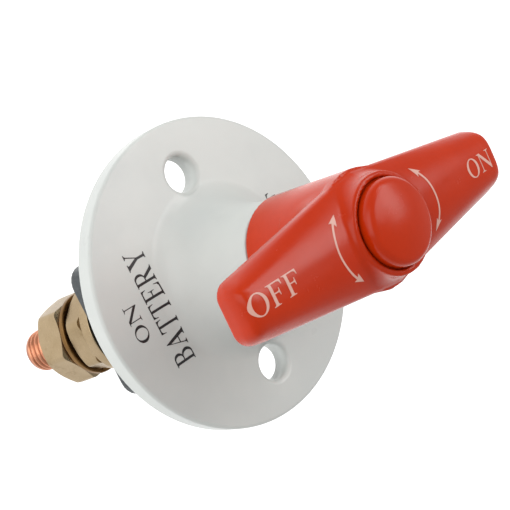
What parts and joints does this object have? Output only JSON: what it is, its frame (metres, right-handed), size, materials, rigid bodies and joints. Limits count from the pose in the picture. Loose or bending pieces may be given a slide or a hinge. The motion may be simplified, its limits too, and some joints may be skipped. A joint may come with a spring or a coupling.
{
  "type": "battery switch",
  "caption": "Panel-mounted rotary battery isolator: round flange with bell neck, T-lever, and threaded terminals splayed out behind.",
  "frame": {"origin": "centre of the flange's flat rear face, which seats on the panel", "axes": "+Z along the switch axis out of the panel towards the lever; +X through one mounting hole; +Y along the lever's OFF arm and through terminal a"},
  "size_m": [0.07, 0.0777, 0.098],
  "materials": {
    "white_enamel": "semi-gloss light grey-white enamel on a zinc casting",
    "red_plastic": "glossy orange-red moulded plastic",
    "dark_phenolic": "dark slate moulded insulator",
    "brown_phenolic": "brown moulded insulator",
    "brass": "machined brass",
    "copper": "bare copper",
    "bronze": "dark bronze spring washer",
    "steel": "turned steel",
    "spring_steel": "dark spring wire",
    "rubber": "black rubber"
  },
  "bodies": {
    "switch_body": {"flange_housing": "white_enamel", "terminal_base": "dark_phenolic", "base_screw_1": "steel", "base_screw_2": "steel", "base_screw_3": "steel", "base_screw_4": "steel", "terminal_stud_a": "copper", "terminal_stud_b": "copper", "terminal_washer_a": "brass", "terminal_washer_b": "brass", "inner_nut_a": "brass", "inner_nut_b": "brass", "lock_washer_a": "bronze", "lock_washer_b": "bronze", "outer_nut_a": "brass", "outer_nut_b": "brass", "shaft_bush": "brass", "shaft_seal": "rubber", "thrust_washer": "steel"},
    "lever": {"handle": "red_plastic", "handle_washer": "steel", "handle_screw": "steel", "handle_cap": "red_plastic", "shaft": "steel", "retaining_clip": "spring_steel", "contact_carrier": "brown_phenolic", "contact_spring": "spring_steel"},
    "moving_contact": {"contact_bridge": "copper"}
  },
  "joints": [
    {"name": "lever_turn", "type": "hinge", "parent": "switch_body", "child": "lever", "pos_m": [0, 0, 0.03], "axis": [0, 0, 1], "range_deg": [0, 90]},
    {"name": "contact_lift", "type": "slide", "parent": "lever", "child": "moving_contact", "axis": [0, 0, 1], "range_m": [0, 0.0014], "stiffness_N_per_m": 4000, "springref_m": -0.0005, "deforming": ["contact_spring"]}
  ]
}
